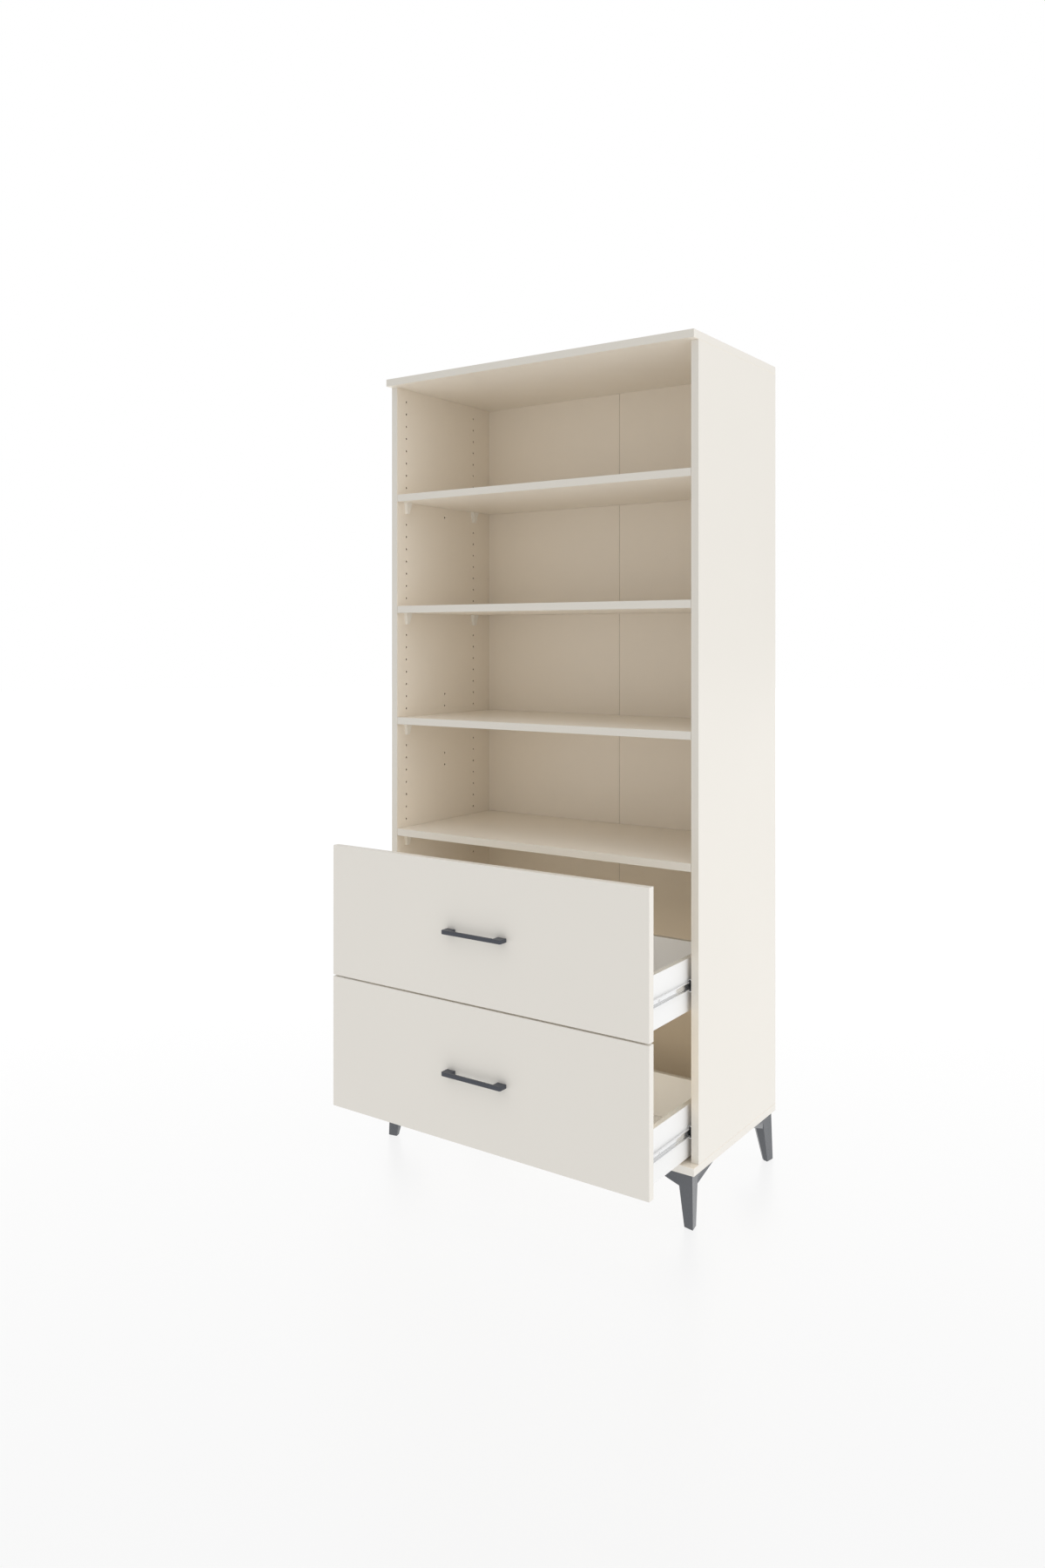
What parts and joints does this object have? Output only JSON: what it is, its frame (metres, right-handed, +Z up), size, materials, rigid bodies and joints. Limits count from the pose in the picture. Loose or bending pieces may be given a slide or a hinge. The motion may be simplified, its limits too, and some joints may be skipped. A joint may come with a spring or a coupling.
{
  "type": "bookcase with bottom drawers",
  "caption": "Tall open bookcase on tapered corner legs, with shelves on pins in a hole grid above wide drawers on ball-bearing slides.",
  "frame": {"origin": "centre of the stored part's footprint box on the floor, drawers part way out", "axes": "+Z up, drawers open towards -Y, +X to the right of someone facing the drawers"},
  "size_m": [0.88, 0.663, 1.95],
  "materials": {
    "cream_board": "cream melamine-faced board with matching edge band, satin",
    "white_board": "white melamine-faced board",
    "drawer_base": "thin lacquered hardboard",
    "beech": "fluted beech dowel",
    "cream_plastic": "cream moulded plastic",
    "anthracite_plastic": "anthracite moulded plastic, satin",
    "anthracite_metal": "anthracite powder coat",
    "slide_steel": "zinc-plated rolled steel",
    "ball_steel": "polished steel",
    "zinc_screw": "zinc-plated steel",
    "black_plastic": "black moulded plastic"
  },
  "bodies": {
    "carcass": {"top_panel": "cream_board", "bottom_panel": "cream_board", "left_side_panel": "cream_board", "right_side_panel": "cream_board", "back_panel_left": "cream_board", "back_panel_right": "cream_board", "back_joint_strip": "cream_board", "shelf_1": "cream_board", "shelf_2": "cream_board", "shelf_3": "cream_board", "shelf_4": "cream_board", "shelf_1_supports": "cream_plastic", "shelf_2_supports": "cream_plastic", "shelf_3_supports": "cream_plastic", "shelf_4_supports": "cream_plastic", "screw_caps": "cream_plastic", "front_left_leg": "anthracite_plastic", "front_right_leg": "anthracite_plastic", "rear_right_leg": "anthracite_plastic", "rear_left_leg": "anthracite_plastic", "leg_screws": "zinc_screw", "carcass_screws": "zinc_screw", "back_strip_screws": "zinc_screw", "cabinet_slide_screws": "zinc_screw", "carcass_dowels": "beech", "upper_left_cabinet_slide": "slide_steel", "upper_right_cabinet_slide": "slide_steel", "lower_left_cabinet_slide": "slide_steel", "lower_right_cabinet_slide": "slide_steel", "slide_stops": "black_plastic"},
    "upper_drawer": {"upper_drawer_front": "cream_board", "upper_drawer_handle": "anthracite_metal", "upper_drawer_handle_screws": "zinc_screw", "upper_drawer_box_front": "white_board", "upper_drawer_left_side": "white_board", "upper_drawer_right_side": "white_board", "upper_drawer_back": "white_board", "upper_drawer_bottom": "drawer_base", "upper_drawer_left_slide": "slide_steel", "upper_drawer_right_slide": "slide_steel", "upper_drawer_slide_screws": "zinc_screw", "upper_drawer_front_screws": "zinc_screw", "upper_drawer_box_dowels": "beech"},
    "upper_ball_cages": {"upper_drawer_ball_cages": "slide_steel", "upper_drawer_balls": "ball_steel"},
    "lower_drawer": {"lower_drawer_front": "cream_board", "lower_drawer_handle": "anthracite_metal", "lower_drawer_handle_screws": "zinc_screw", "lower_drawer_box_front": "white_board", "lower_drawer_left_side": "white_board", "lower_drawer_right_side": "white_board", "lower_drawer_back": "white_board", "lower_drawer_bottom": "drawer_base", "lower_drawer_left_slide": "slide_steel", "lower_drawer_right_slide": "slide_steel", "lower_drawer_slide_screws": "zinc_screw", "lower_drawer_front_screws": "zinc_screw", "lower_drawer_box_dowels": "beech"},
    "lower_ball_cages": {"lower_drawer_ball_cages": "slide_steel", "lower_drawer_balls": "ball_steel"}
  },
  "joints": [
    {"name": "upper_drawer_slide", "type": "slide", "parent": "carcass", "child": "upper_drawer", "axis": [0, -1, 0], "range_m": [-0.198, 0.052]},
    {"name": "lower_drawer_slide", "type": "slide", "parent": "carcass", "child": "lower_drawer", "axis": [0, -1, 0], "range_m": [-0.198, 0.052]},
    {"name": "upper_ball_cage_roll", "type": "slide", "parent": "carcass", "child": "upper_ball_cages", "axis": [0, -1, 0], "range_m": [-0.1, 0.027]},
    {"name": "lower_ball_cage_roll", "type": "slide", "parent": "carcass", "child": "lower_ball_cages", "axis": [0, -1, 0], "range_m": [-0.1, 0.027]}
  ],
  "couplings": [
    {"joint": "upper_ball_cage_roll", "follows": "upper_drawer_slide", "ratio": 0.5},
    {"joint": "lower_ball_cage_roll", "follows": "lower_drawer_slide", "ratio": 0.5}
  ]
}
